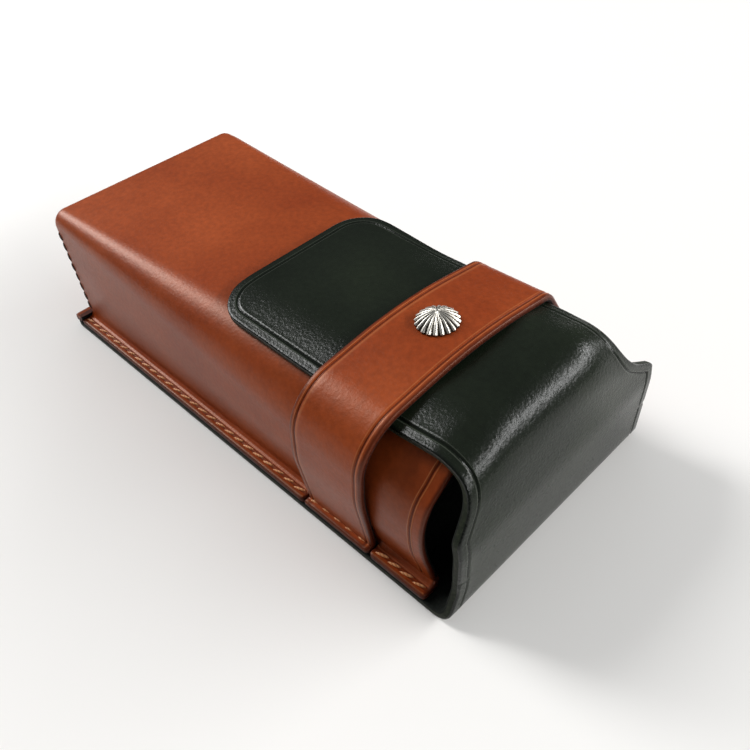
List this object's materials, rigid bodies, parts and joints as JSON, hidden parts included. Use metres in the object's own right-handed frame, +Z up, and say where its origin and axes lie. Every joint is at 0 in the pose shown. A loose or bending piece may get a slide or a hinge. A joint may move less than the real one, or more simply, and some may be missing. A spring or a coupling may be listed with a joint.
{
  "type": "leather glasses case",
  "caption": "Box-shaped hand-stitched leather case for glasses: brown shell on a green back whose flap folds over the mouth and tucks its tongue under a fixed strap with a fluted concho.",
  "frame": {"origin": "centre of the bounding box on the surface that the case stands on", "axes": "+X along the case from its closed end to its mouth and flap, +Y towards the back side wall, +Z up"},
  "size_m": [0.184, 0.0851, 0.0576],
  "materials": {
    "saddle_leather": "smooth vegetable-tanned, rust brown, semi-gloss",
    "green_leather": "smooth vegetable-tanned, very dark green, semi-gloss",
    "divider_leather": "thin dark leather, matt",
    "waxed_thread": "waxed linen thread, light orange tan",
    "dark_thread": "waxed linen thread, dark brown",
    "silver": "polished silver with darker recesses"
  },
  "bodies": {
    "case": {"body_shell": "saddle_leather", "back_panel": "green_leather", "flap_bottom_bend": "green_leather", "compartment_divider": "divider_leather", "strap": "saddle_leather", "concho_cap": "silver", "concho_screw": "silver", "seam_thread_front": "waxed_thread", "seam_thread_back": "waxed_thread", "seam_thread_end": "waxed_thread", "corner_thread_front": "dark_thread", "corner_thread_back": "dark_thread", "strap_thread_front": "waxed_thread", "strap_thread_back": "waxed_thread"},
    "flap_end": {"flap_end_panel": "green_leather"},
    "flap_tongue_body": {"flap_tongue": "green_leather"}
  },
  "joints": [
    {"name": "flap_opening", "type": "hinge", "parent": "case", "child": "flap_end", "pos_m": [0.08818, 0, 0.00378], "axis": [0, 1, 0], "range_deg": [0, 90], "deforming": ["flap_bottom_bend", "flap_tongue"]},
    {"name": "tongue_unfolding", "type": "hinge", "parent": "flap_end", "child": "flap_tongue_body", "pos_m": [0.08689, 0, 0.04824], "axis": [0, 1, 0], "range_deg": [0, 90], "deforming": ["flap_tongue"]}
  ]
}
